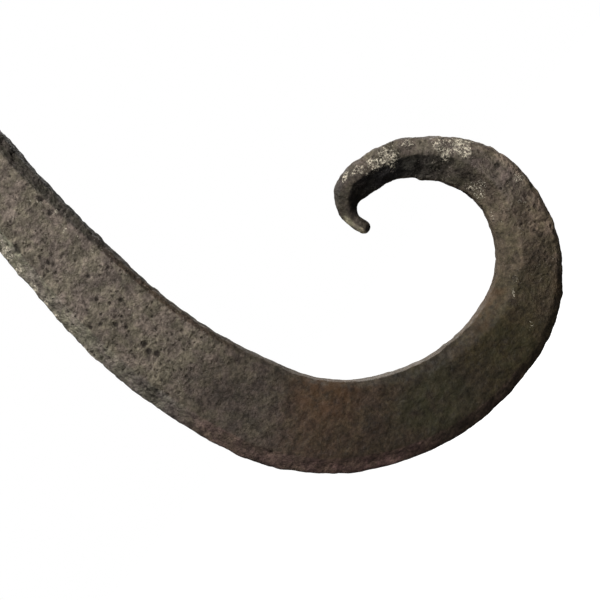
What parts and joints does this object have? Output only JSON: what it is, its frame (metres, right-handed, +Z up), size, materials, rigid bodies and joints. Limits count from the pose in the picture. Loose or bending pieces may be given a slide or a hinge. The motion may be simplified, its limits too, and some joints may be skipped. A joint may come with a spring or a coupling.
{
  "type": "meat hook",
  "caption": "Hand-forged iron meat hook with a tapered, curled-over point, on a swivel yoke that hangs from an oval link and a round ring.",
  "frame": {"origin": "inside top of the hanging ring, where it rests on the nail, rail or beam hook that carries it", "axes": "+Z up, against gravity, with the hook hanging; the hook's own plane is XZ and its point opens towards +X"},
  "size_m": [0.0908, 0.03, 0.3637],
  "materials": {
    "ring_iron": "forged, dark brown oxide",
    "link_iron": "forged, dark brown oxide",
    "yoke_iron": "forged, pitted dark brown oxide",
    "pin_iron": "forged, worn",
    "rove_iron": "forged, worn",
    "hook_iron": "hammered and pitted, dark brown with grey and rust patches"
  },
  "bodies": {
    "ring": {"hanging_ring": "ring_iron"},
    "link": {"hanging_link": "link_iron"},
    "yoke": {"swivel_yoke": "yoke_iron", "yoke_pin": "pin_iron", "pin_rove": "rove_iron", "swivel_rove": "rove_iron"},
    "hook": {"hook_bar": "hook_iron"}
  },
  "joints": [
    {"name": "link_swing", "type": "hinge", "parent": "ring", "child": "link", "pos_m": [0, 0, -0.0437], "axis": [0, 1, 0], "range_deg": [-60, 60]},
    {"name": "yoke_swing", "type": "hinge", "parent": "link", "child": "yoke", "pos_m": [0, 0, -0.085], "axis": [1, 0, 0], "range_deg": [-75, 75]},
    {"name": "hook_swivel", "type": "hinge", "parent": "yoke", "child": "hook", "pos_m": [0, 0, -0.1185], "axis": [0, 0, 1], "continuous": true}
  ]
}
